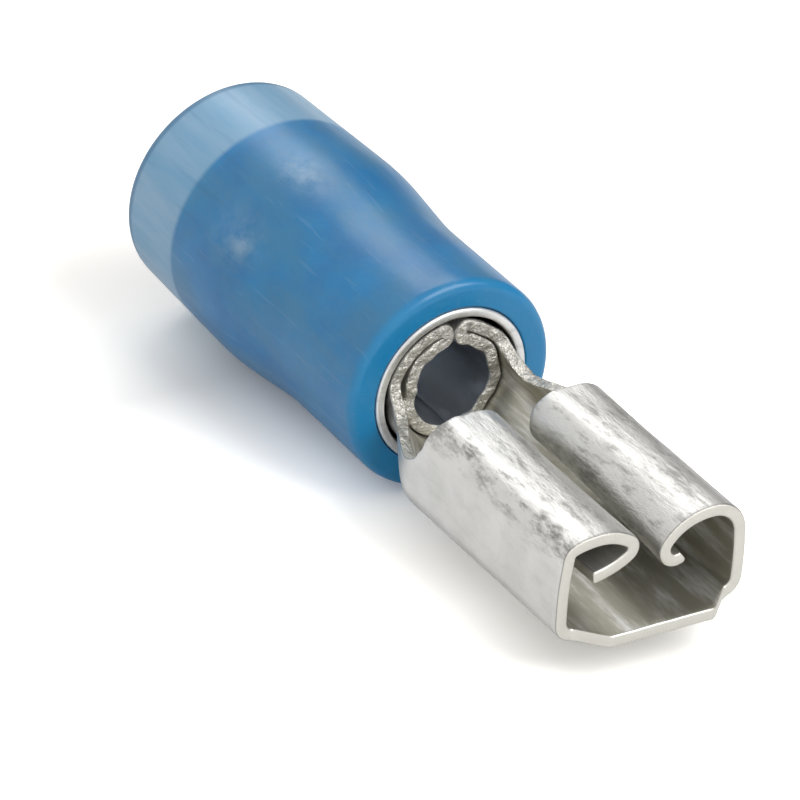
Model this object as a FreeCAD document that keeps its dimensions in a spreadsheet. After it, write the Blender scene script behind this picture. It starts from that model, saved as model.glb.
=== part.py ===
import FreeCAD, Part
import math
import os
import Sketcher

# Insulated female spade terminal for 4.75 mm tabs and 1.5 to 2.5 mm2 wire.
# Three pieces: a nylon insulator, a thin metal grip sleeve inside it, and one
# folded sheet that makes the crimp barrel, the neck and the tab receptacle.
# The barrel axis is X, the tab mouth looks along +X, and the curls are on top.
# Lengths in millimetres are measured from the front face of the insulator.

DRIVING = (
    # the folded sheet
    ("sheet_thickness", 0.38),
    ("wire_bore", 2.3),
    ("barrel_length", 5.8),
    ("layer_gap", 0.04),
    ("seam_gap", 0.06),
    ("seam_round", 0.1),
    ("hem_width", 0.36),
    ("serration_first", 1.6),
    ("serration_pitch", 1.2),
    ("serration_count", 3),
    ("serration_width", 0.4),
    ("serration_depth", 0.08),
    ("neck_flat", 0.3),
    ("neck_length", 2.6),
    ("neck_wall_drop", 0.25),
    ("neck_blend", 0.6),
    ("neck_low_length", 1.5),
    ("wall_foot_start", 2.75),
    ("wall_foot_rise", 0.1),
    ("wall_rear_rise", 0.9),
    ("curl_start", 3.15),
    # the tab receptacle
    ("tab_width", 4.75),
    ("tab_side_clearance", 0.1),
    ("tab_thickness", 0.8),
    ("tab_clearance", 0.02),
    ("floor_drop", 1.62),
    ("receptacle_front", 9.72),
    ("floor_bend", 0.6),
    ("top_bend", 0.9),
    ("wall_lean", 2.5),
    ("curl_radius", 0.8),
    ("curl_turn", 165),
    ("lip_length", 0.65),
    ("slot_width", 0.8),
    ("tongue_length", 0.8),
    ("tongue_width", 3.6),
    ("tongue_corner", 0.15),
    # the grip sleeve
    ("sleeve_wall", 0.26),
    ("sleeve_clearance", 0.02),
    ("sleeve_proud", 0.05),
    ("sleeve_mouth_play", 0.08),
    ("sleeve_mouth_depth", 0.8),
    ("sleeve_grip_length", 4.6),
    ("sleeve_cone_length", 2.2),
    ("sleeve_length", 9.1),
    ("sleeve_bell_diameter", 5.5),
    # the nylon insulator
    ("nylon_length", 11.7),
    ("nylon_front_diameter", 6.16),
    ("nylon_waist_diameter", 6.1),
    ("nylon_bell_diameter", 6.68),
    ("nylon_rim_diameter", 6.34),
    ("nylon_front_length", 4.2),
    ("nylon_shoulder_length", 2.6),
    ("nylon_blend", 6.0),
    ("nylon_edge_round", 0.3),
    ("nylon_rim_round", 0.2),
    ("nylon_funnel", 0.15),
    ("nylon_funnel_depth", 0.5),
)

START = dict(DRIVING)
SAME_PLACE = 1e-6
ORIGIN = -1
ACROSS = -1
UPRIGHT = -2


class Size:
    """A length worked out from the driving dimensions, as a number and as the formula it came from."""

    def __init__(self, value, text):
        self.value = value
        self.text = text

    def __add__(self, other):
        other = as_size(other)
        return Size(self.value + other.value, f"({self.text} + {other.text})")

    def __sub__(self, other):
        other = as_size(other)
        return Size(self.value - other.value, f"({self.text} - {other.text})")

    def __mul__(self, other):
        other = as_size(other)
        return Size(self.value * other.value, f"({self.text} * {other.text})")

    def __truediv__(self, other):
        other = as_size(other)
        return Size(self.value / other.value, f"({self.text} / {other.text})")

    def __neg__(self):
        return Size(-self.value, f"(0 - {self.text})")


def as_size(number):
    if isinstance(number, Size):
        return number
    return Size(float(number), str(number))


def cell(name):
    return Size(float(START[name]), f"sizes.{name}")


def cosine(angle):
    return Size(math.cos(math.radians(angle.value)), f"cos({angle.text})")


def sine(angle):
    return Size(math.sin(math.radians(angle.value)), f"sin({angle.text})")


def height_on_circle(radius, offset):
    """Height of the point of a circle round the origin that lies at the given offset from its upright."""
    square = radius * radius - offset * offset
    return Size(math.sqrt(square.value), f"sqrt({square.text})")


def make_sheet(doc):
    sheet = doc.addObject("Spreadsheet::Sheet", "sizes")
    for row, (name, value) in enumerate(DRIVING, start=1):
        sheet.set(f"A{row}", name)
        sheet.set(f"B{row}", str(value))
        sheet.setAlias(f"B{row}", name)
    doc.recompute()
    return sheet


def plane_of(body, role):
    return next(item for item in body.Origin.OriginFeatures if item.Role == role)


def bind(target, path, size):
    target.setExpression(path, as_size(size).text)


def arc_between(tail, head, radius):
    """Arc of less than half a turn from tail to head: it turns left for a positive radius."""
    chord = head - tail
    middle = (head + tail) * 0.5
    left = FreeCAD.Vector(-chord.y, chord.x, 0).normalize()
    rise = math.sqrt(max(radius * radius - chord.Length ** 2 / 4, 0))
    centre = middle + left * math.copysign(rise, radius)
    first, last = (tail, head) if radius > 0 else (head, tail)
    from_angle = math.atan2(first.y - centre.y, first.x - centre.x)
    to_angle = math.atan2(last.y - centre.y, last.x - centre.x)
    circle = Part.Circle(centre, FreeCAD.Vector(0, 0, 1), abs(radius))
    return Part.ArcOfCircle(circle, from_angle, to_angle)


def pin(sketch, edge, end, kind, axis, size):
    """Holds one coordinate of a point at a size, or on the axis where the size is nought."""
    if not isinstance(size, Size):
        sketch.addConstraint(Sketcher.Constraint("PointOnObject", edge, end, axis))
        return
    index = sketch.addConstraint(Sketcher.Constraint(kind, ORIGIN, 1, edge, end, size.value))
    bind(sketch, f"Constraints[{index}]", size)


def outline(body, name, role, corners, offset=None):
    """Closed sketch through the corners. Each corner is (u, v) or (u, v, radius), where the radius bends the
    edge that leaves the corner: left for a positive radius, right for a negative one."""
    sketch = body.newObject("Sketcher::SketchObject", name)
    sketch.AttachmentSupport = (plane_of(body, role), [""])
    sketch.MapMode = "FlatFace"
    if offset is not None:
        bind(sketch, "AttachmentOffset.Base.z", offset)
    points = [FreeCAD.Vector(as_size(c[0]).value, as_size(c[1]).value, 0) for c in corners]
    ends = []
    for index, corner in enumerate(corners):
        tail = points[index]
        head = points[(index + 1) % len(points)]
        if len(corner) == 2:
            edge = sketch.addGeometry(Part.LineSegment(tail, head), False)
            ends.append((edge, 1, 2))
            continue
        radius = corner[2]
        edge = sketch.addGeometry(arc_between(tail, head, radius.value), False)
        ends.append((edge, 1, 2) if radius.value > 0 else (edge, 2, 1))
        size = radius if radius.value > 0 else -radius
        number = sketch.addConstraint(Sketcher.Constraint("Radius", edge, size.value))
        bind(sketch, f"Constraints[{number}]", size)
    for index, corner in enumerate(corners):
        edge, tail, _ = ends[index]
        before, _, head = ends[index - 1]
        sketch.addConstraint(Sketcher.Constraint("Coincident", before, head, edge, tail))
        pin(sketch, edge, tail, "DistanceX", UPRIGHT, corner[0])
        pin(sketch, edge, tail, "DistanceY", ACROSS, corner[1])
    return sketch


def feature(body, kind, name, **settings):
    made = body.newObject(kind, name)
    for key, value in settings.items():
        setattr(made, key, value)
    return made


def edges_where(shape, test):
    return [f"Edge{number}" for number, edge in enumerate(shape.Edges, start=1) if test(edge)]


def placed(body):
    """Moves a piece along the axis, so that the origin is the middle of the wire barrel's rear opening."""
    bind(body, "Placement.Base.x", cell("barrel_length"))


def make_terminal_body(doc):
    """The folded sheet. One half is built and mirrored across the middle plane."""
    body = doc.addObject("PartDesign::Body", "terminal_body")
    add_barrel(body)
    add_serrations(doc, body)
    add_receptacle(body)
    add_neck(body)
    add_tongue(body)
    trim_neck_walls(doc, body)
    half = body.Tip
    whole = feature(
        body, "PartDesign::Mirrored", "both_halves", TransformMode="Whole shape",
        MirrorPlane=(plane_of(body, "XZ_Plane"), [""]), Originals=[half],
    )
    body.Tip = whole
    return body


def add_barrel(body):
    """Two layers of sheet: the outer one closes at the seam on top, turns in and goes back round the bore."""
    bore = cell("wire_bore") / 2
    inner_back = bore + cell("sheet_thickness")
    outer_back = inner_back + cell("layer_gap")
    outside = barrel_radius()
    seam = cell("seam_gap") / 2
    hem = cell("hem_width")
    corner = cell("seam_round")
    rounded = seam + corner
    top = height_on_circle(outside, rounded)
    inner_top = height_on_circle(bore, rounded)
    section = outline(body, "barrel_section", "YZ_Plane", (
        (0, -outside, outside),
        (outside, 0, outside),
        (rounded, top, corner),
        (seam, top - corner),
        (seam, inner_top + corner, corner),
        (rounded, inner_top, -bore),
        (bore, 0, -bore),
        (seam, -height_on_circle(bore, seam)),
        (seam, -height_on_circle(inner_back, seam), inner_back),
        (inner_back, 0, inner_back),
        (hem, height_on_circle(inner_back, hem)),
        (hem, height_on_circle(outer_back, hem), -outer_back),
        (outer_back, 0, -outer_back),
        (0, -outer_back),
    ))
    barrel = feature(body, "PartDesign::Pad", "barrel", Profile=section, Reversed=True)
    bind(barrel, "Length", cell("barrel_length"))


def add_serrations(doc, body):
    """Shallow grooves round the bore that bite into the strands."""
    bore = cell("wire_bore") / 2
    front = -cell("serration_first")
    back = front - cell("serration_width")
    bottom = bore + cell("serration_depth")
    section = outline(body, "serration_section", "XZ_Plane", (
        (front, bore / 2), (front, bottom), (back, bottom), (back, bore / 2),
    ))
    doc.recompute()
    groove = feature(body, "PartDesign::Groove", "serration", Profile=section, ReferenceAxis=(section, ["H_Axis"]))
    doc.recompute()
    row = feature(
        body, "PartDesign::LinearPattern", "serrations", Originals=[groove],
        Direction=(section, ["H_Axis"]), Reversed=True,
    )
    bind(row, "Occurrences", cell("serration_count"))
    bind(row, "Length", cell("serration_pitch") * (cell("serration_count") - 1))
    body.Tip = row


def receptacle_half_width():
    return cell("tab_width") / 2 + cell("tab_side_clearance") + cell("sheet_thickness")


def curl_end_angle():
    """Direction from the curl's middle to the end of its bend, counted from the Y axis."""
    return cell("curl_turn") + 90


def curl_middle_height():
    """The lips' lowest edge leaves room for the tab on the floor, and the curl's middle follows from it."""
    lip_low = cell("sheet_thickness") + cell("tab_thickness") + cell("tab_clearance") - cell("floor_drop")
    end = curl_end_angle()
    return lip_low - cell("curl_radius") * sine(end) - cell("lip_length") * cosine(end)


def leaning(middle_u, middle_v, radius, angle):
    """Point of a bend at an angle from the Y axis, given the bend's middle."""
    return middle_u + radius * cosine(angle), middle_v + radius * sine(angle)


def add_receptacle(body):
    """Floor, wall and curl: the wall's top rolls over and down, and its free lip leans on the tab."""
    thickness = cell("sheet_thickness")
    floor = -cell("floor_drop")
    lean = cell("wall_lean")
    low_bend = cell("floor_bend")
    low_u = receptacle_half_width() - low_bend
    low_v = floor + low_bend
    curl = cell("curl_radius")
    curl_u = cell("slot_width") / 2 + curl
    curl_v = curl_middle_height()
    top = curl_v + curl
    top_bend = cell("top_bend")
    top_v = top - top_bend
    rise = top_v - low_v + (top_bend - low_bend) * sine(lean)
    top_u = low_u + (low_bend - top_bend) * cosine(lean) - rise * sine(lean) / cosine(lean)
    end = curl_end_angle()
    turn_u, turn_v = leaning(curl_u, curl_v, curl, end)
    inner_turn_u, inner_turn_v = leaning(curl_u, curl_v, curl - thickness, end)
    lip_u = -cell("lip_length") * sine(end)
    lip_v = cell("lip_length") * cosine(end)
    section = outline(body, "receptacle_section", "YZ_Plane", (
        (0, floor),
        (low_u, floor, low_bend),
        leaning(low_u, low_v, low_bend, lean),
        (*leaning(top_u, top_v, top_bend, lean), top_bend),
        (top_u, top),
        (curl_u, top, curl),
        (curl_u - curl, curl_v, curl),
        (turn_u, turn_v),
        (turn_u + lip_u, turn_v + lip_v),
        (inner_turn_u + lip_u, inner_turn_v + lip_v),
        (inner_turn_u, inner_turn_v, -(curl - thickness)),
        (curl_u - curl + thickness, curl_v, -(curl - thickness)),
        (curl_u, top - thickness),
        (top_u, top - thickness, -(top_bend - thickness)),
        leaning(top_u, top_v, top_bend - thickness, lean),
        (*leaning(low_u, low_v, low_bend - thickness, lean), -(low_bend - thickness)),
        (low_u, floor + thickness),
        (0, floor + thickness),
    ), offset=cell("neck_length"))
    receptacle = feature(body, "PartDesign::Pad", "receptacle", Profile=section)
    bind(receptacle, "Length", cell("receptacle_front") - cell("neck_length"))


def channel(body, name, half_width, floor, bend, lean, offset):
    """Half of an open channel: floor, bend and leaning wall, high enough to be trimmed later."""
    thickness = cell("sheet_thickness")
    middle_u = half_width - bend
    middle_v = floor + bend
    wall = cell("wall_rear_rise") - middle_v
    outer_u, outer_v = leaning(middle_u, middle_v, bend, lean)
    inner_u, inner_v = leaning(middle_u, middle_v, bend - thickness, lean)
    up_u = -wall * sine(lean)
    up_v = wall * cosine(lean)
    return outline(body, name, "YZ_Plane", (
        (0, floor),
        (middle_u, floor, bend),
        (outer_u, outer_v),
        (outer_u + up_u, outer_v + up_v),
        (inner_u + up_u, inner_v + up_v),
        (inner_u, inner_v, -(bend - thickness)),
        (middle_u, floor + thickness),
        (0, floor + thickness),
    ), offset=offset)


def add_neck(body):
    """Open channel that widens from the barrel's outer layer to the receptacle."""
    outside = barrel_radius()
    bend = outside - cell("neck_flat") / 2
    lean = cell("wall_lean")
    rear = channel(body, "neck_rear", outside, -outside, bend, lean, as_size(0))
    front = channel(
        body, "neck_front", receptacle_half_width(), -cell("floor_drop"), cell("floor_bend"), lean,
        cell("neck_length"),
    )
    feature(body, "PartDesign::AdditiveLoft", "neck", Profile=rear, Sections=[front])


def add_tongue(body):
    """Flat tongue of the floor that stands out past the walls, with slanted corners."""
    base = cell("receptacle_front")
    front = base + cell("tongue_length")
    half_tongue = cell("tongue_width") / 2
    corner = cell("tongue_corner")
    section = outline(body, "tongue_outline", "XY_Plane", (
        (base, 0),
        (front, 0),
        (front, half_tongue - corner),
        (front - corner, half_tongue),
        (base, receptacle_half_width() - cell("floor_bend")),
    ), offset=-cell("floor_drop"))
    tongue = feature(body, "PartDesign::Pad", "tongue", Profile=section)
    bind(tongue, "Length", cell("sheet_thickness"))


def trim_neck_walls(doc, body):
    """Side profile of the neck: the walls dip behind the barrel and rise again to the curls' rear ends."""
    low = -cell("neck_wall_drop")
    blend = cell("neck_blend")
    above = curl_middle_height() + cell("curl_radius") * 2
    profile = outline(body, "neck_side_profile", "XZ_Plane", (
        (0, low + blend, blend),
        (blend, low),
        (cell("neck_low_length"), low),
        (cell("wall_foot_start"), cell("wall_foot_rise")),
        (cell("curl_start"), cell("wall_rear_rise")),
        (cell("curl_start"), above),
        (0, above),
    ))
    doc.recompute()
    feature(
        body, "PartDesign::Pocket", "neck_trim", Profile=profile, Type="ThroughAll", SideType="Symmetric",
    )


def make_grip_sleeve(doc):
    """Thin sleeve: a flared mouth, a straight length on the barrel, a cone and a wider bell for the wire."""
    body = doc.addObject("PartDesign::Body", "grip_sleeve")
    wall = cell("sleeve_wall")
    grip = sleeve_grip_radius()
    mouth = grip + cell("sleeve_mouth_play")
    bell = cell("sleeve_bell_diameter") / 2
    front = cell("sleeve_proud")
    flare_end = -cell("sleeve_mouth_depth")
    cone_start = -cell("sleeve_grip_length")
    cone_end = cone_start - cell("sleeve_cone_length")
    back = -cell("sleeve_length")
    section = outline(body, "sleeve_section", "XZ_Plane", (
        (front, mouth),
        (front, mouth + wall),
        (flare_end, grip + wall),
        (cone_start, grip + wall),
        (cone_end, bell),
        (back, bell),
        (back, bell - wall),
        (cone_end, bell - wall),
        (cone_start, grip),
        (flare_end, grip),
    ))
    doc.recompute()
    feature(body, "PartDesign::Revolution", "sleeve_turned", Profile=section, ReferenceAxis=(section, ["H_Axis"]))
    return body


def barrel_radius():
    return cell("wire_bore") / 2 + cell("sheet_thickness") * 2 + cell("layer_gap")


def sleeve_grip_radius():
    return barrel_radius() + cell("sleeve_clearance")


def make_insulator(doc):
    """Nylon cover: slim front, conical shoulder and a bell that tapers to the rear rim, bored for the sleeve."""
    body = doc.addObject("PartDesign::Body", "insulator")
    wall = cell("sleeve_wall")
    clearance = cell("sleeve_clearance")
    grip = sleeve_grip_radius() + wall + clearance
    mouth = grip + cell("sleeve_mouth_play")
    bell = cell("sleeve_bell_diameter") / 2 + clearance
    entry = bell - wall
    rounding = cell("nylon_edge_round")
    rim_round = cell("nylon_rim_round")
    front_radius = cell("nylon_front_diameter") / 2
    waist_radius = cell("nylon_waist_diameter") / 2
    bell_radius = cell("nylon_bell_diameter") / 2
    waist = -cell("nylon_front_length")
    shoulder = waist - cell("nylon_shoulder_length")
    rim_radius = cell("nylon_rim_diameter") / 2
    rear = -cell("nylon_length")
    cone_start = -cell("sleeve_grip_length")
    seat = -cell("sleeve_length") - clearance
    section = outline(body, "insulator_section", "XZ_Plane", (
        (0, mouth),
        (0, front_radius - rounding, rounding),
        (-rounding, front_radius),
        (waist, waist_radius),
        (shoulder, bell_radius),
        (rear + rim_round, rim_radius, rim_round),
        (rear, rim_radius - rim_round),
        (rear, entry + cell("nylon_funnel")),
        (rear + cell("nylon_funnel_depth"), entry),
        (seat, entry),
        (seat, bell),
        (cone_start - cell("sleeve_cone_length"), bell),
        (cone_start, grip),
        (-cell("sleeve_mouth_depth"), grip),
    ))
    doc.recompute()
    turned = feature(
        body, "PartDesign::Revolution", "insulator_turned", Profile=section, ReferenceAxis=(section, ["H_Axis"]),
    )
    doc.recompute()
    rings = ((waist.value, waist_radius.value), (shoulder.value, bell_radius.value))
    corners = edges_where(turned.Shape, lambda edge: is_ring_at(edge, rings))
    blend = feature(body, "PartDesign::Fillet", "shoulder_blend", Base=(turned, corners))
    bind(blend, "Radius", cell("nylon_blend"))
    return body


def is_ring_at(edge, rings):
    """True for a ring round the axis that has one of the given places and radii."""
    if edge.Curve.TypeId != "Part::GeomCircle":
        return False
    here = (edge.Curve.Center.x, edge.Curve.Radius)
    return any(math.dist(here, ring) < SAME_PLACE for ring in rings)


def check(doc, bodies):
    for item in doc.Objects:
        if "Invalid" in item.State or "Error" in item.State:
            raise RuntimeError(f"{item.Name} failed: {item.State}")
    for body in bodies:
        shape = body.Shape
        if shape.isNull() or not shape.isValid() or len(shape.Solids) != 1:
            raise RuntimeError(f"{body.Label} is not one valid solid")


def main():
    doc = FreeCAD.newDocument("spade_terminal")
    make_sheet(doc)
    bodies = [make_insulator(doc), make_grip_sleeve(doc), make_terminal_body(doc)]
    for body in bodies:
        body.Label = body.Name
        placed(body)
    doc.recompute()
    check(doc, bodies)
    os.makedirs("parts", exist_ok=True)
    for body in bodies:
        body.Shape.exportStep(f"parts/{body.Label}.step")
        print(body.Label, round(body.Shape.Volume, 3), body.Shape.BoundBox)


main()
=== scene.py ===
import bmesh
import bpy
import numpy as np
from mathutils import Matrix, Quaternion, Vector


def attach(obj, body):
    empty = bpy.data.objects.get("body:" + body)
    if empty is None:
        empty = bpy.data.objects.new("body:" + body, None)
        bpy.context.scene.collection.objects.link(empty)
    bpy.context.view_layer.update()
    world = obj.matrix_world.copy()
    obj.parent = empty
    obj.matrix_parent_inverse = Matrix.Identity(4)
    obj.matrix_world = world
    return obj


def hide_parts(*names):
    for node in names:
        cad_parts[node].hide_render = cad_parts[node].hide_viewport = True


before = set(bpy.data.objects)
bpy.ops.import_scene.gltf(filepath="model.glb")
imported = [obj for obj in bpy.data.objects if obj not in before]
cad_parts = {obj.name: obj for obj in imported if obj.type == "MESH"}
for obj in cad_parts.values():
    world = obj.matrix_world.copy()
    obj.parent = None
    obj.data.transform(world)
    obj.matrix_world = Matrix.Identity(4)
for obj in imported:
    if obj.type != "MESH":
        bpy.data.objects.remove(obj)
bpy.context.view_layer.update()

# Insulated push-on receptacle: a moulded nylon cover, a thin grip sleeve inside it, and one folded
# sheet of tinned brass that makes the barrel, the neck and the receptacle. Sizes are in millimetres
# and count from the cover's front face, with the mouth along +X. The near side is -Y, towards the
# camera, where the length u across the blank is negative. The far side is +Y.

MM = 0.001
FACE_PLACE = 5.8            # the cover's front face is this far ahead of the frame's origin
MERGE_REACH = 2e-6          # metres: points nearer than this are one point
FLAT_EDGE = 1e-7            # metres: edges shorter than this are dissolved

# Camera of the photograph.
CAMERA_PLACE = (0.1478441, -0.0963067, 0.102741)
CAMERA_TURN = (0.7503599, 0.4428858, 0.2143829, 0.4414207)
CAMERA_LENS = 342.468
SENSOR = 36.0

# Studio: walls whose grey follows world Y (-1 to 1 as 0 to 1), a far soft light, a near softbox.
WALL_STOPS = ((0.0, 0.88), (0.56, 0.78), (0.70, 0.46), (0.84, 0.26))
LIGHT_WAY = (-0.70, 0.27, 0.66)
LIGHT_EDGE, LIGHT_HEART = 19, 5     # degrees from the light's middle: no light, full light
LIGHT_POWER = 2.5
KEY_WAY = (0.62, 0.36, 0.7)
KEY_DISTANCE, KEY_SIZE, KEY_POWER = 0.3, 0.2, 0.6

# Table: it touches the cover's bell and leans a little towards the mouth.
FLOOR_TOUCH = (-6.8, -3.34)         # place along the axis and height of the line of touch
FLOOR_SLOPE = 0.034
FLOOR_REACH = 600.0
FLOOR_SEEN_IN_METAL = 0.78
FLOOR_SEEN = (1.0, 1.6)             # what the camera sees, least and most
FLOOR_TINT = (1.02, 1.0, 0.965)
FLOOR_SPAN = 12                     # the stops run from this far behind the face to as far ahead
# Painted light on the table: the camera sees it lightest from the cover's front to the receptacle
# and least by the bell, so the shadow thins ahead and stays deep there.
FLOOR_LIGHT_STOPS = ((0.02, 0.4), (0.18, 0.0), (0.42, 1.0), (0.74, 1.0), (0.90, 0.35))
FLOOR_GLOW = 0.03

# Folded sheet. The layers and floors are places of the sheet's middle.
SHEET = 0.36
CUT = 0.07                  # rounding of the sheared edges
OUTER_LAYER, INNER_LAYER = 1.76, 1.36
REAR_FLOOR, MOUTH_FLOOR = -1.44, -1.48
BARREL_REAR = -5.8
VALLEY_PLACE = 0.6          # lowest point of the neck's wall edge, along the axis
NEAR_VALLEY, FAR_VALLEY = 2.6, 3.25     # and across the blank, on each side
FAR_SHIFT = 0.2             # the far side's valley is this much further forward
FAR_SHIFT_START, FAR_SHIFT_SPAN = 1.6, 1.4      # across the blank, where the shift grows
NECK_END = 2.6              # where the neck has the receptacle's full shape
CURL_REAR = 3.15
MOUTH = 9.72
TONGUE = 10.44


def total(runs):
    """Length of a line of runs (length, turn)."""
    return sum(length for length, turn in runs)


# Lines of runs (length, turn in degrees) from the middle of the floor to the sheet's end.
FOLD_ANGLE = 77.6           # where the outer layer turns in at the seam
FOLD_RADIUS, FOLD_FLAT = 0.15, 0.10
INNER_END = 89.5            # the inner layer ends this far round from +Y, just short of the bottom
BARREL_RUNS = (
    (OUTER_LAYER * np.radians(90 + FOLD_ANGLE), 90 + FOLD_ANGLE),
    (np.pi / 2 * FOLD_RADIUS, 90), (FOLD_FLAT, 0), (np.pi / 2 * FOLD_RADIUS, 90),
    (INNER_LAYER * np.radians(INNER_END + FOLD_ANGLE), -(INNER_END + FOLD_ANGLE)),
)
REAR_RUNS = (
    (2.255, 0), (0.662, 92.5), (1.455, 0), (1.084, 87.5), (0.692, 0), (1.757, 165), (0.65, 0),
)
NEAR_RUNS = (
    (2.206, 0), (0.595, 86.9), (1.96, 10.6), (0.28, 61.6), (1.73, 52.4), (0.516, 114.4),
    (1.148, 27.2),
)
FAR_RUNS = (
    (2.3, 0), (0.65, 87), (1.45, 9.3), (1.257, 82.3), (0.875, 28.7), (0.12, 4.3), (0.57, 23.4),
    (1.0, 160),
)
KNEE_RUNS = 2               # the first runs, up to the foot of the wall

# Edges of the blank: length across it, then place along the axis.
FILLET, FILLET_END = 0.6, 3.2
FAR_FRONT = ((FAR_VALLEY, 3.35, 3.45, 3.6, 3.8), (VALLEY_PLACE + FAR_SHIFT, 0.5, 0.32, 0.12, 0.0))
NEAR_CLIMB = ((NEAR_VALLEY, 2.84, 3.16, 3.93, 4.4, 4.77, 4.95),
              (VALLEY_PLACE, 1.0, 1.5, 2.75, 2.98, 3.1, CURL_REAR))
FAR_CLIMB = ((FAR_VALLEY, 3.38, 3.56, 3.88, 4.15, 4.5, 4.95),
             (VALLEY_PLACE + FAR_SHIFT, 1.0, 1.25, 1.7, 2.5, 2.9, CURL_REAR - 0.05))
TONGUE_EDGE = ((0, 1.58, 1.72, 2.26, 2.4), (TONGUE, TONGUE, TONGUE - 0.1, MOUTH + 0.08, MOUTH))

# Levels across the blank: (start, end, step). The fold runs from the outer to the inner layer.
FOLD_START, FOLD_END = BARREL_RUNS[0][0], total(BARREL_RUNS[:4])
FLOOR_EDGE = 2.26
BARREL_SIDE, WALL_FOOT, WALL_TOP, CURL_TOP = 3.8, 3.1, 4.3, 5.4
FLOOR_LEVELS = ((0, 1.58, 0.15), (1.58, 1.72, 0.035), (1.72, FLOOR_EDGE, 0.09))
NEAR_BARREL_LEVELS = ((FLOOR_EDGE, NEAR_VALLEY, 0.07), (NEAR_VALLEY, FILLET_END, 0.06),
                      (FILLET_END, BARREL_SIDE, 0.1))
FAR_BARREL_LEVELS = ((FLOOR_EDGE, FAR_VALLEY, 0.07), (FAR_VALLEY, BARREL_SIDE, 0.055))
FOLD_LEVELS = ((BARREL_SIDE, FOLD_START, 0.11), (FOLD_START, FOLD_END, 0.06),
               (FOLD_END, total(BARREL_RUNS), 0.1))
NEAR_WALL_LEVELS = ((FLOOR_EDGE, NEAR_VALLEY, 0.07), (NEAR_VALLEY, WALL_FOOT, 0.06),
                    (WALL_FOOT, WALL_TOP, 0.1))
FAR_WALL_LEVELS = ((FLOOR_EDGE, FAR_VALLEY, 0.07), (FAR_VALLEY, WALL_TOP, 0.07))
CURL_LEVELS = ((WALL_TOP, CURL_TOP, 0.08), (CURL_TOP, total(REAR_RUNS), 0.07))
BARREL_STEPS, CURL_STEPS = 34, 66   # points along each face of the two strips
TOUCH = 1e-6                        # lengths that differ by less are the same
LAST_GAP = 0.03                     # least room between a level and the rounding of the end
EDGE_ROWS = 7                       # points round each cut edge, between the faces
BARREL_CROWD = 1.7                  # the barrel's points crowd towards its front by this power

# Unevenness: seeded waves and their heights. The rough waves are deepest at one place along the
# axis, fade out to both sides, faster past the valley, and at the folds, and grow with the angle
# round from the bottom, in radians. The push is a dent in the near inner layer.
FAINT, FAINT_STRETCH = 0.008, 0.4
FAINT_WAVES = dict(seed=11, count=12, shortest=0.9, longest=2.6)
ROUGH = 0.04
ROUGH_WAVES = dict(seed=5, count=16, shortest=0.6, longest=1.8)
ROUGH_PLACE, ROUGH_FADE, ROUGH_FADE_PAST, ROUGH_FADE_FOLD = 0.1, 0.7, 0.5, 0.5
ROUGH_ANGLE, ROUGH_ANGLE_SPAN = 0.6, 0.5
PUSH, PUSH_PLACE, PUSH_WIDTH, PUSH_REACH = 0.14, 7.4, 0.8, 0.9
BARREL_TORN, BARREL_TORN_REACH = 0.045, 0.4
BARREL_TORN_WAVES = dict(seed=3, count=12, shortest=0.22, longest=1.0)
NECK_TORN, NECK_TORN_REACH = 0.03, 0.3
NECK_TORN_WAVES = dict(seed=8, count=10, shortest=0.2, longest=0.9)

# Marks on the sheet. Shades and rolled faces: share, start and span of the rise across the blank.
# Painted dark reflection line just outside each sheared edge.
DARK_LINE_CUT = 0.5                  # cut attribute just outside a sheared edge, where the dark line runs
LIP_CUT = 0.02              # last stretch of a curl that counts wholly as cut edge
FACE_RISE, INSIDE_START = 4, 0.5    # a face's mark grows over a quarter of the thickness
BORE_FADE = 0.3             # the bore's look begins over this length past the fold
# Painted black shade on the barrel's outer face inside the sleeve: fade at the fold, front and
# fade.
RECESS_FADE_FOLD, RECESS_FRONT, RECESS_FADE = 0.1, -0.04, 0.08
NEAR_SHADE, FAR_SHADE = (0.7, 4.3, 0.8), (0.35, 4.6, 0.6)
# The rolled faces' darker streaks are partly scuffs and partly painted dark reflections on the
# curls.
ROLLED, LEAST_SCUFF = (0.9, 4.35, 0.5), 0.1
# Painted dark reflection line along the near curl's upper bend.
BEND_LINE_SHARE, BEND_LINE_PLACE, BEND_LINE_WIDTH = 0.5, 5.08, 0.12   # line along the near curl's upper bend

# Turned profiles: (x, r, reach of the corner's rounding).
COVER_LINE = (
    (0, 2.33, 0.05), (0, 3.08, 0.3), (-4.2, 3.05, 0.6), (-6.8, 3.34, 0.7), (-11.7, 3.17, 0.2),
    (-11.7, 2.66, 0.06), (-11.2, 2.51, 0.2), (-9.12, 2.51, 0.03), (-9.12, 2.77, 0.03),
    (-6.8, 2.77, 0.3), (-4.6, 2.25, 0.3), (-0.8, 2.25, 0.2),
)
SLEEVE_LINE = (
    (0.05, 2.06, 0.06), (0.05, 2.31, 0.12), (-0.8, 2.23, 0.2), (-4.6, 2.23, 0.3),
    (-6.8, 2.75, 0.3), (-9.1, 2.75, 0.08), (-9.1, 2.49, 0.08), (-6.8, 2.49, 0.3),
    (-4.6, 1.97, 0.3), (-0.6, 1.97, 0.2),
)
COVER_ROUND, SLEEVE_ROUND = 192, 160    # points round each
# Painted highlights on the nylon: pale spots for the lights' reflections on the bell's shoulders
# and by the front face.
HIGHLIGHT_SPOTS = (      # place along the axis, angle from +Y, reach along and around, strength
    (-6.6, 105, 0.9, 8, 0.5), (-6.3, 150.5, 0.4, 5, 0.35), (-6.6, 149, 1.0, 14, 0.2),
    (-0.15, 92, 0.15, 5, 0.4),
)
HIGHLIGHT_RADIUS = 2.9                       # only the nylon further out than this gets the painted highlights
# Painted black shade on the sleeve's inner wall by its front: radius, front and fade.
SLEEVE_DARK_RADIUS, SLEEVE_DARK_FRONT, SLEEVE_DARK_FADE = 2.12, 0.02, 0.1

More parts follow.
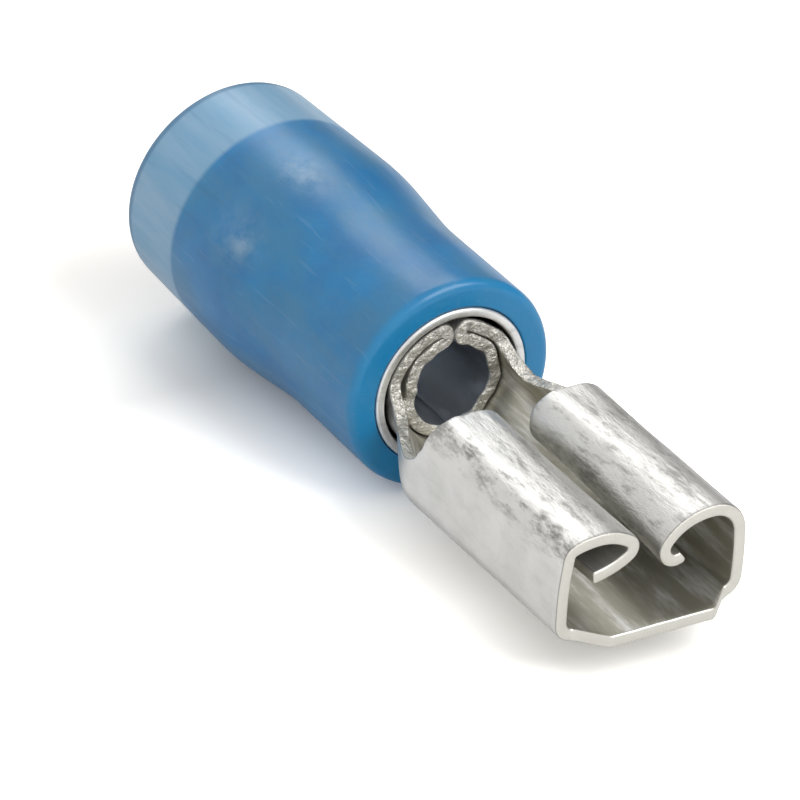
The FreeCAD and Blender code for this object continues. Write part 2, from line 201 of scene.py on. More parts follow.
# Tin plate: stops are (place, colour), colours are linear.
SHEET_CLOUD = ((0.35, (0.69, 0.68, 0.65)), (0.65, (0.77, 0.76, 0.735)))
# Painted light: the sleeve's tin plate is lighter than the sheet's, for the bright lip at its
# mouth.
SLEEVE_LIT_CLOUD = ((0.35, (0.84, 0.84, 0.82)), (0.65, (0.93, 0.93, 0.92)))
# Dark grey of the scuffed streaks, partly painted dark reflections on the curls.
SCUFF_AND_REFLECTION_TONE, SCUFF_SHARE = (0.30, 0.295, 0.28), 0.75
SLEEVE_SCUFF, SLEEVE_RELIEF, SHEET_RELIEF = 0.35, 0.2, 0.7
# Painted shade on the sheet's inner faces: darker olive tones in lengthwise streaks, with a few
# pale ones.
SHADED_INSIDE = ((0.44, (0.47, 0.455, 0.38)), (0.52, (0.54, 0.525, 0.455)),
               (0.66, (0.86, 0.85, 0.82)))
# Painted shade: the barrel's inner wall is darker and bluer.
BORE_SHADE_TONE = (0.44, 0.475, 0.52)
TORN_LIGHT, TORN_DARK = (0.76, 0.74, 0.68), (0.47, 0.455, 0.42)
TORN_SPAN, TORN_REST = (3.4, 1.5), 0.12     # edges are torn behind the second place, smooth ahead
# Tone of the painted dark reflection line along the sheared edges.
EDGE_REFLECTION_LINE_TONE = (0.22, 0.21, 0.19)
# Near-black painted shade in the gap between the barrel and the sleeve.
RECESS_SHADOW_TONE = (0.02, 0.02, 0.02)

# Nylon.
OVER_METAL = ((0.35, (0.002, 0.175, 0.44)), (0.65, (0.004, 0.235, 0.53)))
GREYER_PATCH = (0.05, 0.22, 0.365)
DARK_STREAK, LIGHT_SCRATCH = (0.012, 0.13, 0.30), (0.20, 0.42, 0.62)
STREAK_SHARE, SCRATCH_SHARE, CLEAR_STREAK_SHARE = 0.22, 0.16, 0.3
# Pale tone of the painted highlights.
HIGHLIGHT_TONE = (0.42, 0.58, 0.70)
CLEAR_BAND = ((0.35, (0.17, 0.395, 0.60)), (0.65, (0.27, 0.46, 0.64)))
CLEAR_STREAK = (0.09, 0.27, 0.46)
RIM_TONE, FACE_TONE = (0.05, 0.19, 0.36), (0.006, 0.29, 0.60)
CLEAR_SPAN = (-9.0, -9.25)      # behind this the nylon has no sleeve under it
RIM_SPAN, RIM_SHARE = (-11.34, -11.48), 0.75
FACE_SPAN, FACE_SHARE = (-0.4, -0.05), 0.55


# Meshes

def skin(name, points, quads, replaced, attributes):
    """Mesh from points in millimetres ahead of the cover's face. Points that meet are merged, and
    the faces are turned outwards where the enclosed volume comes out negative."""
    places = (np.asarray(points, float) + (FACE_PLACE, 0, 0)) * MM
    mesh = bpy.data.meshes.new(name)
    mesh.from_pydata(places.tolist(), [], np.asarray(quads).tolist())
    for key, values in attributes.items():
        kind, field = ("FLOAT_VECTOR", "vector") if values.ndim == 2 else ("FLOAT", "value")
        mesh.attributes.new(key, kind, "POINT").data.foreach_set(field, values.ravel())
    shell = bmesh.new()
    shell.from_mesh(mesh)
    bmesh.ops.remove_doubles(shell, verts=shell.verts, dist=MERGE_REACH)
    bmesh.ops.dissolve_degenerate(shell, edges=shell.edges, dist=FLAT_EDGE)
    if shell.calc_volume(signed=True) < 0:
        bmesh.ops.reverse_faces(shell, faces=shell.faces)
    for face in shell.faces:
        face.smooth = True
    shell.to_mesh(mesh)
    shell.free()
    piece = place_object(name, mesh)
    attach(piece, "root")
    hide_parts(replaced)
    return piece


def place_object(name, data):
    """Object with the data, at the origin and in the scene."""
    made = bpy.data.objects.new(name, data)
    bpy.context.scene.collection.objects.link(made)
    return made


def ring_quads(rows, columns, closed_rows=True):
    """Four corner numbers for each cell of a grid that is stored row by row and closes along each
    row. The last row joins the first one if closed_rows."""
    row = np.arange(rows if closed_rows else rows - 1)
    i, j = np.meshgrid(row, np.arange(columns), indexing="ij")
    i2, j2 = (i + 1) % rows, (j + 1) % columns
    corners = (i * columns + j, i * columns + j2, i2 * columns + j2, i2 * columns + j)
    return np.stack(corners, -1).reshape(-1, 4)


def softened(corners, steps=8, longest=0.35):
    """Closed line through the corners (x, r, reach). Each corner is a parabola between the two
    points that lie its reach away along its sides, and long runs are divided evenly."""
    place = np.array([c[:2] for c in corners], float)
    reach = np.array([c[2] for c in corners], float)[:, None]
    back = np.roll(place, 1, 0) - place
    ahead = np.roll(place, -1, 0) - place
    tail = place + back / np.linalg.norm(back, axis=1, keepdims=True) * reach
    head = place + ahead / np.linalg.norm(ahead, axis=1, keepdims=True) * reach
    t = np.linspace(0, 1, steps)[None, :, None]
    bend = tail[:, None] * (1 - t) ** 2 + place[:, None] * 2 * t * (1 - t) + head[:, None] * t ** 2
    line = []
    for number, arc in enumerate(bend):
        start, stop = arc[-1], bend[(number + 1) % len(bend)][0]
        pieces = max(int(np.linalg.norm(stop - start) / longest), 1)
        run = start + (stop - start) * (np.arange(1, pieces) / pieces)[:, None]
        line += [arc, run]
    return np.concatenate(line)


def turned(line, around):
    """Surface of revolution: each point (x, r) of the closed line goes round a circle of radius r
    about the X axis."""
    angle = np.linspace(0, 2 * np.pi, around, endpoint=False)
    x = np.repeat(line[:, :1], around, 1)
    y = line[:, 1:] * np.cos(angle)
    z = line[:, 1:] * np.sin(angle)
    return np.stack([x, y, z], -1).reshape(-1, 3), ring_quads(len(line), around)


def smooth(t):
    """0 up to t = 0, 1 from t = 1, and 3 t^2 - 2 t^3 between them."""
    t = np.clip(t, 0, 1)
    return t * t * (3 - 2 * t)


def rise(value, share, start, span):
    """0 up to the start, then growing smoothly to the share over the span."""
    return share * smooth((value - start) / span)


def bell(t):
    """1 at t = 0, falling to both sides as e to the power of minus t squared."""
    return np.exp(-t ** 2)


def waves(u, x, seed, count, shortest, longest):
    """Sum of sine waves that run in seeded directions over the blank, about 1 at its largest."""
    draw = np.random.default_rng(seed)
    height = np.zeros(np.broadcast(u, x).shape)
    for _ in range(count):
        length = draw.uniform(shortest, longest)
        angle, phase = draw.uniform(0, 2 * np.pi, 2)
        height += np.sin((u * np.cos(angle) + x * np.sin(angle)) * 2 * np.pi / length + phase)
    return height / np.sqrt(count * 2)


# The folded sheet

def along(runs, u):
    """Place and direction at length u of a line of runs (length, turn). Inside a run the direction
    grows evenly, so the place is the run's start plus the chord of an arc."""
    length = np.array([run[0] for run in runs])
    turn = np.radians([run[1] for run in runs])
    ends = np.cumsum(length)
    heading = np.concatenate([[0], np.cumsum(turn)[:-1]])

    def chord(s, bend, start):
        middle = start + bend * s / 2
        return s * np.sinc(bend * s / 2 / np.pi) * np.array([np.cos(middle), np.sin(middle)])

    steps = chord(length, turn / length, heading)
    base = np.concatenate([np.zeros((2, 1)), np.cumsum(steps, axis=1)[:, :-1]], axis=1)
    k = np.clip(np.searchsorted(ends, u), 0, len(runs) - 1)
    s = u - (ends - length)[k]
    bend = (turn / length)[k]
    return base[:, k] + chord(s, bend, heading[k]), heading[k] + bend * s


def outward(heading):
    """Unit vector a quarter turn to the right of the heading, away from the sheet's inside."""
    return np.array([np.sin(heading), -np.cos(heading)])


def mouth_line(runs, a):
    """A mouth section at the blank's length a. Up to the wall's foot and from there on, its own
    length takes up the rear section's length in proportion."""
    knee, own_knee = total(REAR_RUNS[:KNEE_RUNS]), total(runs[:KNEE_RUNS])
    share = (total(runs) - own_knee) / (total(REAR_RUNS) - knee)
    return along(runs, np.where(a < knee, a * own_knee / knee, own_knee + (a - knee) * share))


def formed(u, x, o):
    """Point of the folded sheet: u is the length across the blank from its middle, x the place
    along it and o the height over the sheet's middle. The barrel's section, the receptacle's rear
    section and its mouth section are mixed along x, each section being a line of runs."""
    a = np.abs(u)
    barrel, barrel_heading = along(BARREL_RUNS, a)
    barrel = barrel + np.array([0, -OUTER_LAYER])[:, None, None]
    rear, rear_heading = along(REAR_RUNS, a)
    (near, near_heading), (far, far_heading) = mouth_line(NEAR_RUNS, a), mouth_line(FAR_RUNS, a)
    mouth, mouth_heading = np.where(u < 0, near, far), np.where(u < 0, near_heading, far_heading)
    forward = np.clip((x - CURL_REAR) / (MOUTH - CURL_REAR), 0, 1)
    open_out = smooth(x / NECK_END)
    box = rear * (1 - forward) + mouth * forward
    box[1] += REAR_FLOOR + (MOUTH_FLOOR - REAR_FLOOR) * forward
    box_out = outward(rear_heading) * (1 - forward) + outward(mouth_heading) * forward
    middle = barrel * (1 - open_out) + box * open_out
    out = outward(barrel_heading) * (1 - open_out) + box_out * open_out
    out = out / np.linalg.norm(out, axis=0)
    place = middle + out * (o + dents(u, x))
    return np.stack([x, np.where(u < 0, -1.0, 1.0) * place[0], place[1]], -1)


def dents(u, x):
    """Shallow unevenness left by the forming tools: faint waves on the receptacle, deeper ones at
    the barrel's front end, where both layers were sheared and squeezed together, and a push on the
    near inner layer. The deep ones fade out at the folds and away from the end."""
    a = np.abs(u)
    faint = FAINT * waves(u, x * FAINT_STRETCH, **FAINT_WAVES)
    on_outer = a < FOLD_START
    arc = np.where(on_outer, a / OUTER_LAYER,
                   FOLD_START / OUTER_LAYER - np.maximum(a - FOLD_END, 0) / INNER_LAYER)
    layer = np.where(on_outer, smooth((FOLD_START - a) / ROUGH_FADE_FOLD),
                     -smooth((a - FOLD_END) / ROUGH_FADE_FOLD))
    behind = np.exp(-np.abs(np.minimum(x, VALLEY_PLACE) - ROUGH_PLACE) / ROUGH_FADE)
    ahead = np.exp(-np.maximum(x - VALLEY_PLACE, 0) / ROUGH_FADE_PAST)
    rough = ROUGH * waves(arc * OUTER_LAYER * np.sign(u), x, **ROUGH_WAVES)
    rough = rough * behind * smooth((arc - ROUGH_ANGLE) / ROUGH_ANGLE_SPAN) * ahead * layer
    pushed = PUSH * bell((u + PUSH_PLACE) / PUSH_WIDTH) * np.exp(np.minimum(x, 0) / PUSH_REACH)
    return faint + rough + pushed * (x < VALLEY_PLACE + FAR_SHIFT + TOUCH)


def strip(columns, half, rear, front, rear_round, front_round, face_shares):
    """Closed skin of a strip of sheet. For each column u the section along the blank is a rectangle
    from its rear edge to its front edge, as thick as the sheet, with corners that follow a quarter
    circle. Returns u, x, o and how far each point is on a cut edge, as columns by rows."""
    quarter = np.radians([30, 60, 90])

    def corner(end, side):
        """Rows from a face to the edge: end is 0 at the rear and 1 at the front, side the face."""
        away = 1 if end else -1
        for a in quarter:
            dark_line_row = side > 0 and a == quarter[0]
            yield end, away * (np.sin(a) - 1), side, 1 - np.cos(a), DARK_LINE_CUT if dark_line_row else 1

    # each row: share of the front edge, shift and fall in corners, side of the sheet, cut
    rows = [(share, 1 - 2 * share, 1, 0, 0) for share in face_shares]
    rows += [*corner(1, 1), (1, 0, 0, 0, 1), *reversed([*corner(1, -1)])]
    rows += [(share, 1 - 2 * share, -1, 0, 0) for share in face_shares[::-1]]
    rows += [*corner(0, -1), (0, 0, 0, 0, 1), *reversed([*corner(0, 1)])]
    share, shift, side, fall, cut = (np.array(r, float)[None, :] for r in zip(*rows))
    u = np.repeat(columns[:, None], share.shape[1], 1)
    reach = rear_round[:, None] * (1 - share) + front_round[:, None] * share
    inset = rear_round[:, None] * (1 - share) - front_round[:, None] * share
    x = rear[:, None] * (1 - share) + front[:, None] * share
    x = x + np.where(cut == 0, inset, shift * reach)
    o = side * (half[:, None] - fall * np.minimum(CUT, half[:, None]))
    return u, x, o, np.repeat(cut, len(u), 0)


def across(near_levels, far_levels):
    """Columns over the blank from its near end to its far end, and half the sheet's thickness at
    each. The last columns follow a quarter circle to close the end."""
    turn = np.radians([0, 30, 60, 90])
    halves = []
    for levels in (near_levels, far_levels):
        end = levels[-1]
        inside = levels[levels < end - CUT - LAST_GAP]
        place = np.concatenate([inside, end - CUT + CUT * np.sin(turn), [end]])
        half = np.concatenate([np.full(len(inside), SHEET / 2),
                               SHEET / 2 - CUT * (1 - np.cos(turn)), [0]])
        halves.append((place, half))
    (left, left_half), (right, right_half) = halves
    return np.concatenate([-left[:0:-1], right]), np.concatenate([left_half[:0:-1], right_half])


def stepped(*stops):
    """Levels between stops (start, end, step), evenly divided."""
    parts = [np.linspace(a, b, max(int(round((b - a) / step)), 1), endpoint=False)
             for a, b, step in stops]
    return np.concatenate([*parts, [stops[-1][1]]])


def is_joined(u):
    """Where the barrel's strip and the receptacle's strip are one sheet."""
    return (u >= -NEAR_VALLEY - TOUCH) & (u <= FAR_VALLEY + TOUCH)


def meeting(u):
    """Place along the axis of the line where the two strips meet."""
    return VALLEY_PLACE + FAR_SHIFT * smooth((u - FAR_SHIFT_START) / FAR_SHIFT_SPAN)


def barrel_front(u):
    """Front edge of the barrel's part: a step to the neck, a hollow round fillet on the near side
    and straight pieces on the far side, then the sheared end at 0."""
    a = np.abs(u)
    hollow = np.sqrt(np.maximum(FILLET ** 2 - np.maximum(FILLET_END - a, 0) ** 2, 0))
    near = np.where(a < FILLET_END, VALLEY_PLACE - hollow, 0.0)
    return np.where(is_joined(u), meeting(u), np.where(u < 0, near, np.interp(a, *FAR_FRONT)))


def receptacle_rear(u):
    """Rear edge of the receptacle's part: it climbs from the neck's valley to the curl's end."""
    climb = np.where(u < 0, np.interp(-u, *NEAR_CLIMB), np.interp(u, *FAR_CLIMB))
    return np.where(is_joined(u), meeting(u), climb)


def torn(u, reach):
    """0 at the joined part of the blank and 1 from the reach on past it."""
    return smooth(np.where(u < 0, -u - NEAR_VALLEY, u - FAR_VALLEY) / reach)


def barrel_strip():
    """The barrel's part: each column runs from the barrel's rear to its front edge, which is made
    ragged by waves away from the joined part."""
    columns, half = across(stepped(*FLOOR_LEVELS, *NEAR_BARREL_LEVELS, *FOLD_LEVELS),
                           stepped(*FLOOR_LEVELS, *FAR_BARREL_LEVELS, *FOLD_LEVELS))
    ragged = BARREL_TORN * waves(columns, 0 * columns, **BARREL_TORN_WAVES)
    front = barrel_front(columns) + ragged * torn(columns, BARREL_TORN_REACH)
    joined, size = is_joined(columns), len(columns)
    shares = 1 - np.linspace(1, 0, BARREL_STEPS) ** BARREL_CROWD
    return joined, strip(columns, half, np.full(size, BARREL_REAR), front,
                         np.full(size, CUT), np.where(joined, 0, CUT), shares)


def receptacle_strip():
    """The receptacle's part: each column runs from the neck's edge, made ragged in the same way,
    to the mouth, and to the tongue in the middle."""
    columns, half = across(stepped(*FLOOR_LEVELS, *NEAR_WALL_LEVELS, *CURL_LEVELS),
                           stepped(*FLOOR_LEVELS, *FAR_WALL_LEVELS, *CURL_LEVELS))
    ragged = NECK_TORN * waves(columns, 0 * columns, **NECK_TORN_WAVES)
    rear = receptacle_rear(columns) + ragged * torn(columns, NECK_TORN_REACH)
    front = np.interp(np.abs(columns), *TONGUE_EDGE)
    joined = is_joined(columns)
    return joined, strip(columns, half, rear, front, np.where(joined, 0, CUT),
                         np.full(len(columns), CUT), np.linspace(0, 1, CURL_STEPS))


def marks(u, x, o, on_barrel):
    """Fields for the material: blank is (u, x, o); the others mark painted shade on the barrel's
    inner wall (the bore) and on the sheet's inner face, weaker in the curls, painted black shade on
    the barrel's outer face inside the sleeve, and scuffed streaks on the curls' outer faces that
    also stand in for dark reflections, with a painted dark reflection line along the near one's
    upper bend."""
    a = np.abs(u)
    outer = smooth(o / SHEET * FACE_RISE)
    bore = outer * smooth((a - FOLD_END) / BORE_FADE) * on_barrel
    # Painted black shade on the barrel's outer face inside the sleeve.
    recess_shadow = smooth((FOLD_START - a) / RECESS_FADE_FOLD) * smooth((RECESS_FRONT - x) / RECESS_FADE)
    shade = 1 - rise(-u, *NEAR_SHADE) - rise(u, *FAR_SHADE)
    rolled = rise(a, *ROLLED) + BEND_LINE_SHARE * bell((u + BEND_LINE_PLACE) / BEND_LINE_WIDTH)
    return {
        "blank": np.stack([u, x, o], -1).reshape(-1, 3),
        "bore": bore.ravel(),
        # Painted shade on the sheet's inner face, weaker in the curls.
        "inside": (smooth(-o / SHEET * FACE_RISE - INSIDE_START) * shade).ravel(),
        "recess_shadow": (outer * recess_shadow * on_barrel).ravel(),
        # Scuffed streaks on the curls' outer faces, partly painted dark reflections, with a painted
        # dark line at the bend.
        "scuff_and_reflection": (outer * rolled * (1 - bore) + LEAST_SCUFF).ravel(),
    }


def make_terminal_skin():
    """Two strips that share the neck's lowest line: the barrel's, and the receptacle's with the
    tongue. Their edge faces are left out where they meet, so the skin closes over both."""
    points, quads, fields, count = [], [], [], 0
    strips = ((True, barrel_strip()), (False, receptacle_strip()))
    for on_barrel, (joined, (u, x, o, cut)) in strips:
        columns, rows = u.shape
        first = (rows - 2 * EDGE_ROWS) // 2 - 1 if on_barrel else rows - EDGE_ROWS - 1
        edge_row = (np.arange(rows) >= first) & (np.arange(rows) <= first + EDGE_ROWS)
        cell_row = np.tile(np.arange(rows), columns - 1)
        cell_column = np.repeat(np.arange(columns - 1), rows)
        shared = edge_row[cell_row] & joined[cell_column] & joined[cell_column + 1]
        points.append(formed(u, x, o).reshape(-1, 3))
        quads.append(ring_quads(columns, rows, closed_rows=False)[~shared] + count)
        cut[np.ix_(joined & np.roll(joined, 1) & np.roll(joined, -1), edge_row)] = 0
        if not on_barrel:
            lip = 1 - smooth((total(REAR_RUNS) - LIP_CUT - np.abs(u)) / CUT)
            cut = np.maximum(cut, lip)
        fields.append({"cut": cut.ravel(), **marks(u, x, o, on_barrel)})
        count += u.size
    joint_fields = {key: np.concatenate([part[key] for part in fields]) for key in fields[0]}
    return skin("terminal_sheet", np.concatenate(points), np.concatenate(quads),
                "terminal_body", joint_fields)


# The cover and the sleeve

def make_cover():
    """The nylon: its profile turned round the axis, with painted highlight spots on the outside,
    each a bell over the place along the axis and the angle."""
    points, quads = turned(softened(COVER_LINE), COVER_ROUND)
    angle = np.degrees(np.arctan2(points[:, 2], points[:, 1]))
    outer = np.hypot(points[:, 1], points[:, 2]) > HIGHLIGHT_RADIUS
    highlight = np.zeros(len(points))
    for x, at, reach, spread, strength in HIGHLIGHT_SPOTS:
        highlight += strength * bell((points[:, 0] - x) / reach) * bell((angle - at) / spread)
    return skin("nylon_cover", points, quads, "insulator", {"highlight": highlight * outer})


def make_sleeve():
    """The grip sleeve: its profile turned round the axis, with painted black shade on its inner
    wall by the front.
    """
    points, quads = turned(softened(SLEEVE_LINE), SLEEVE_ROUND)
    radius = np.hypot(points[:, 1], points[:, 2])
    recess_shadow = (smooth((SLEEVE_DARK_RADIUS - radius) / SLEEVE_DARK_FADE)
              * smooth((SLEEVE_DARK_FRONT - points[:, 0]) / SLEEVE_DARK_FADE))
    return skin("grip_sleeve_skin", points, quads, "grip_sleeve", {"recess_shadow": recess_shadow})


# Materials

def rgb(value):
    """A colour as it is, or a number as a grey."""
    return value if isinstance(value, tuple) else (value,) * 3


class Graph:
    """Node tree of a material or world. Wherever a value goes in, it may be a constant or a
    socket."""

    def __init__(self, owner):
        owner.use_nodes = True
        self.nodes, self.links = owner.node_tree.nodes, owner.node_tree.links

    def give(self, socket, value):
        """Links the socket to a socket, or sets it to a constant."""
        if isinstance(value, bpy.types.NodeSocket):
            self.links.new(value, socket)
        elif socket.type == "RGBA":
            socket.default_value = (*rgb(value), 1)
        else:
            socket.default_value = value

    def fill(self, target, inputs):
        """Gives each named input of the node its value."""
        for key, value in inputs.items():
            self.give(target.inputs[key], value)

    def node(self, kind, inputs, **settings):
        """A new shader node of a kind, with its settings and inputs."""
        made = self.nodes.new("ShaderNode" + kind)
        for key, value in settings.items():
            setattr(made, key, value)
        self.fill(made, inputs)
        return made

    def attribute(self, name, output="Fac"):
        """A field of the mesh, as one number or as a vector."""
        return self.node("Attribute", {}, attribute_name=name).outputs[output]

    def millimetres(self):
        """The object's own coordinates, counted in millimetres."""
        place = self.node("TexCoord", {}).outputs["Object"]
        return self.node("Mapping", {"Vector": place, "Scale": (1 / MM,) * 3}).outputs["Vector"]

    def part(self, source, axis):
        """One coordinate of a vector."""
        return self.node("SeparateXYZ", {"Vector": source}).outputs[axis]

    def between(self, value, span, to=(0.0, 1.0), kind="SMOOTHSTEP"):
        """The value mapped from one span to the other, and held at their ends."""
        keys = {"Value": value, "From Min": span[0], "From Max": span[1],
                "To Min": to[0], "To Max": to[1]}
        return self.node("MapRange", keys, interpolation_type=kind).outputs["Result"]

    def along_axis(self, space, span, to=(0.0, 1.0), kind="SMOOTHSTEP"):
        """between(), over the place along the axis ahead of the cover's face."""
        place = tuple(FACE_PLACE + end for end in span)
        return self.between(self.part(space, "X"), place, to, kind)

    def ramp(self, source, stops):
        """Colour over the source by stops (place, colour or grey), mixed evenly between them."""
        made = self.node("ValToRGB", {"Fac": source})
        elements = made.color_ramp.elements
        while len(elements) < len(stops):
            elements.new(0.5)
        for element, (place, colour) in zip(elements, stops):
            element.position = place
            element.color = (*rgb(colour), 1)
        return made.outputs["Color"]

    def noise(self, source, scale, detail=4.0, rough=0.6, squeeze=(1, 1, 1), turn=0.0):
        """Noise over the source, with scale cells for each millimetre, drawn out and turned
        about Z."""
        fit = self.node("Mapping", {"Vector": source, "Scale": squeeze, "Rotation": (0, 0, turn)})
        keys = {"Vector": fit.outputs["Vector"], "Scale": scale, "Detail": detail,
                "Roughness": rough}
        return self.node("TexNoise", keys).outputs["Fac"]

    def blend(self, factor, first, second, kind="RGBA"):
        """The first where the factor is 0, the second where it is 1, as colours or numbers."""
        first_key, second_key, out = {"RGBA": (6, 7, 2), "FLOAT": (2, 3, 0)}[kind]
        keys = {"Factor": factor, first_key: first, second_key: second}
        return self.node("Mix", keys, data_type=kind).outputs[out]

    def product(self, first, second):
        """Two numbers multiplied."""
        return self.node("Math", {0: first, 1: second}, operation="MULTIPLY").outputs[0]

    def bump(self, **inputs):
        """Normal of a bump. Its distance is in millimetres."""
        inputs["Distance"] *= MM
        return self.node("Bump", inputs).outputs["Normal"]

    def camera_sees(self, seen, others, output):
        """Sends the first shader to camera rays and the second to all others."""
        ray = self.node("LightPath", {}).outputs["Is Camera Ray"]
        pick = self.node("MixShader", {"Fac": ray, 1: others, 2: seen})
        self.links.new(pick.outputs[0], self.nodes[output].inputs["Surface"])


def material(name):
    """A new material, its graph and its shader."""
    made = bpy.data.materials.new(name)
    graph = Graph(made)
    return made, graph, graph.nodes["Principled BSDF"]


def tin_material(name, on_sheet):
    """Tin plate: darker in fine diagonal streaks on the rolled faces, partly scuffs and partly
    painted dark reflections, clouded elsewhere, painted darker inside as shade in lengthwise
    streaks, darker and bluer in the bore and black in the gaps by the sleeve as painted shade, matt
    and creamy on the sheared edges, with a painted dark reflection line along their outer side."""
    made, graph, shader = material(name)
    space = graph.millimetres()
    sheet = graph.attribute("blank", "Vector") if on_sheet else space
    scuff_and_reflection = graph.attribute("scuff_and_reflection") if on_sheet else SLEEVE_SCUFF
    streak = graph.noise(sheet, scale=2.6, detail=6.0, rough=0.75, squeeze=(1.25, 0.3, 1.0),
                         turn=0.2)
    cloud = graph.noise(space, scale=0.9, detail=3.0)
    # The sleeve's plate is painted lighter, as light on its lip.
    colour = graph.ramp(cloud, SHEET_CLOUD if on_sheet else SLEEVE_LIT_CLOUD)
    # Darker streaks: scuffs, and on the curls partly painted dark reflections.
    amount = graph.product(graph.ramp(streak, ((0.36, 1.0), (0.50, 0.0))), scuff_and_reflection)
    colour = graph.blend(graph.product(amount, SCUFF_SHARE), colour, SCUFF_AND_REFLECTION_TONE)
    rough = graph.ramp(streak, ((0.35, 0.48), (0.6, 0.3)))
    relief = graph.product(scuff_and_reflection, SHEET_RELIEF) if on_sheet else SLEEVE_RELIEF
    grain = graph.noise(sheet, scale=9.0, detail=4.0, rough=0.7)
    normal = graph.bump(Height=grain, Strength=0.35, Distance=0.008)
    normal = graph.bump(Height=streak, Strength=relief, Distance=0.05, Normal=normal)
    if on_sheet:
        cut, inside = graph.attribute("cut"), graph.attribute("inside")
        edge = graph.node("Math", {0: cut, 1: 0.75}, operation="GREATER_THAN").outputs[0]
        tearing = graph.along_axis(space, TORN_SPAN, (TORN_REST, 1.0), "LINEAR")
        # Painted shade on the inner faces, in lengthwise streaks.
        inside_streak = graph.noise(sheet, scale=1.5, detail=5.0, rough=0.65, squeeze=(1.3, 0.22, 1.0))
        colour = graph.blend(inside, colour, graph.ramp(inside_streak, SHADED_INSIDE))
        # Painted shade in the bore: darker and bluer.
        colour = graph.blend(graph.attribute("bore"), colour, BORE_SHADE_TONE)
        spots = graph.noise(space, scale=3.0, detail=5.0, rough=0.7)
        pits = graph.ramp(spots, ((0.34, 1.0), (0.6, 0.0)))
        torn_edge = graph.blend(graph.product(pits, tearing), TORN_LIGHT, TORN_DARK)
        colour = graph.blend(edge, colour, torn_edge)
        # Painted dark reflection line along the outer side of the sheared edges.
        line = graph.ramp(cut, ((0.25, 0.0), (0.5, 0.7), (0.75, 0.7), (0.9, 0.0)))
        colour = graph.blend(line, colour, EDGE_REFLECTION_LINE_TONE)
        rough = graph.blend(edge, rough, 0.5, "FLOAT")
        rough = graph.blend(inside, rough, 0.42, "FLOAT")
        lumps = graph.noise(space, scale=3.0)
        normal = graph.bump(Height=lumps, Strength=graph.product(edge, tearing), Distance=0.25,
                            Normal=normal)
    # Painted black shade in the gap between the barrel and the sleeve.
    colour = graph.blend(graph.attribute("recess_shadow"), colour, RECESS_SHADOW_TONE)
    graph.fill(shader, {"Metallic": 0.92, "Base Color": colour, "Roughness": rough,
                        "Normal": normal})
    return made


def nylon_material():
    """Clear blue nylon with a satin skin: darker over the metal sleeve, pale behind it where light
    comes through, streaked and scratched lengthwise, brighter on its front face, with pale painted
    highlight spots."""
    made, graph, shader = material("blue_nylon_satin")
    space = graph.millimetres()
    streak = graph.noise(space, scale=1.4, detail=4.0, rough=0.65, squeeze=(0.12, 1.0, 1.0))
    line = graph.ramp(graph.noise(space, scale=3.0, detail=3.0, squeeze=(0.06, 1.0, 1.0)),
                      ((0.60, 0.0), (0.68, 1.0)))
    patch = graph.ramp(graph.noise(space, scale=0.7, squeeze=(0.5, 1.0, 1.0)),
                       ((0.40, 0.0), (0.62, 0.55)))
    scratch = graph.ramp(graph.noise(space, scale=5.0, detail=3.0, squeeze=(0.05, 1.0, 1.0)),
                         ((0.62, 0.0), (0.69, 1.0)))
    # Painted highlights: pale spots, broken up by noise, where the mesh marks them.
    highlight_breakup = graph.noise(space, scale=2.2, detail=4.0, rough=0.7)
    highlight = graph.product(graph.attribute("highlight"), graph.ramp(highlight_breakup, ((0.3, 0.0), (0.65, 1.0))))
    colour = graph.ramp(graph.noise(space, scale=0.45), OVER_METAL)
    colour = graph.blend(patch, colour, GREYER_PATCH)
    colour = graph.blend(graph.product(line, STREAK_SHARE), colour, DARK_STREAK)
    colour = graph.blend(graph.product(scratch, SCRATCH_SHARE), colour, LIGHT_SCRATCH)
    colour = graph.blend(highlight, colour, HIGHLIGHT_TONE)
    clear = graph.blend(graph.product(line, CLEAR_STREAK_SHARE), graph.ramp(streak, CLEAR_BAND),
                        CLEAR_STREAK)
    colour = graph.blend(graph.along_axis(space, CLEAR_SPAN), colour, clear)
    rim = graph.along_axis(space, RIM_SPAN, (0.0, RIM_SHARE))
    colour = graph.blend(rim, colour, RIM_TONE)
    face = graph.along_axis(space, FACE_SPAN, (0.0, FACE_SHARE))
    colour = graph.blend(face, colour, FACE_TONE)
    grain = graph.noise(space, scale=6.0, detail=2.0)
    graph.fill(shader, {
        "Base Color": colour,
        "Roughness": graph.ramp(streak, ((0.3, 0.42), (0.7, 0.3))),
        "IOR": 1.53, "Transmission Weight": 0.25, "Specular IOR Level": 0.4,
        "Coat Weight": 0.2, "Coat Roughness": 0.12,
        "Normal": graph.bump(Height=grain, Strength=0.2, Distance=0.02),
    })
    return made


def floor_material():
    """Matt table. The camera sees it lighter than the metal does, so it stays white around the
    shadow, and lighter still from the cover's front to the receptacle, as painted light that thins
    the shadow there."""
    made, graph, shader = material("white_table")
    graph.fill(shader, {"Base Color": FLOOR_SEEN_IN_METAL, "Roughness": 0.9,
                        "Specular IOR Level": 0.0})
    length = graph.along_axis(graph.millimetres(), (-FLOOR_SPAN, FLOOR_SPAN), kind="LINEAR")
    lift = graph.between(graph.ramp(length, FLOOR_LIGHT_STOPS), (0.0, 1.0), FLOOR_SEEN, "LINEAR")
    tint = graph.node("VectorMath", {0: FLOOR_TINT, "Scale": lift}, operation="SCALE")
    paper = graph.node("BsdfDiffuse", {"Color": tint.outputs[0]})
    glow = graph.node("Emission", {"Strength": FLOOR_GLOW})
    both = graph.node("AddShader", {0: paper.outputs[0], 1: glow.outputs[0]})
    graph.camera_sees(both.outputs[0], shader.outputs[0], "Material Output")
    return made


# The set

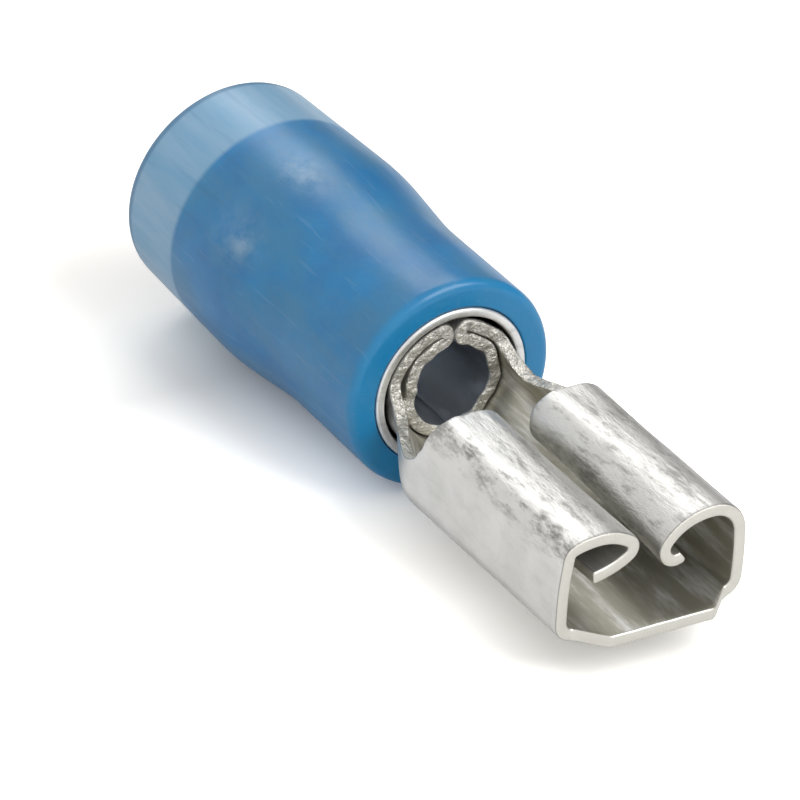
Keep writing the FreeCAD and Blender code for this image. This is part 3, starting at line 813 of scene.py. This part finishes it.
def make_floor():
    """Plane through the line of touch under the bell: its height grows with the place along the
    axis by the slope."""
    touch_x, touch_z = FLOOR_TOUCH
    corners = FLOOR_REACH * np.array([(-1, -1), (1, -1), (1, 1), (-1, 1)])
    height = touch_z + (corners[:, 0] - touch_x) * FLOOR_SLOPE
    points = (np.column_stack([corners, height]) + (FACE_PLACE, 0, 0)) * MM
    mesh = bpy.data.meshes.new("table")
    mesh.from_pydata(points.tolist(), [], [(0, 1, 2, 3)])
    mesh.materials.append(floor_material())
    place_object("table", mesh)


def make_world():
    """Studio as the piece sees it: grey walls that darken towards the +Y side, and one large soft
    light behind and above. The camera sees plain white."""
    world = bpy.data.worlds.new("studio")
    bpy.context.scene.world = world
    graph = Graph(world)
    way = graph.node("TexCoord", {}).outputs["Generated"]
    share = graph.between(graph.part(way, "Y"), (-1.0, 1.0), kind="LINEAR")
    walls = graph.nodes["Background"]
    graph.fill(walls, {"Color": graph.ramp(share, WALL_STOPS)})
    dot = graph.node("VectorMath", {0: way, 1: Vector(LIGHT_WAY).normalized()},
                     operation="DOT_PRODUCT")
    span = np.cos(np.radians([LIGHT_EDGE, LIGHT_HEART])).tolist()
    lobe = graph.between(dot.outputs["Value"], span, (0.0, LIGHT_POWER))
    lamp = graph.node("Background", {"Color": 1.0, "Strength": lobe})
    both = graph.node("AddShader", {0: walls.outputs[0], 1: lamp.outputs[0]})
    white = graph.node("Background", {"Color": 1.0})
    graph.camera_sees(white.outputs[0], both.outputs[0], "World Output")


def make_key():
    """Square softbox ahead on the +Y side: it throws the shadow towards the cover's rear left."""
    light = bpy.data.lights.new("key", "AREA")
    light.size = KEY_SIZE
    light.energy = KEY_POWER
    lamp = place_object("key", light)
    way = Vector(KEY_WAY).normalized()
    lamp.location = way * KEY_DISTANCE
    lamp.rotation_mode = "QUATERNION"
    lamp.rotation_quaternion = way.to_track_quat("Z", "Y")


def make_camera():
    """The photograph's camera, as fitted to it."""
    data = bpy.data.cameras.new("camera")
    data.lens = CAMERA_LENS
    data.sensor_width = SENSOR
    data.clip_start, data.clip_end = 0.01, 10
    camera = place_object("camera", data)
    camera.location = CAMERA_PLACE
    camera.rotation_mode = "QUATERNION"
    camera.rotation_quaternion = Quaternion(CAMERA_TURN)
    bpy.context.scene.camera = camera


bpy.context.scene.view_settings.view_transform = "Standard"
make_camera()
make_world()
make_floor()
make_key()

make_cover().data.materials.append(nylon_material())
make_sleeve().data.materials.append(tin_material("sleeve_tin_plate", on_sheet=False))
make_terminal_skin().data.materials.append(tin_material("terminal_tin_plate", on_sheet=True))
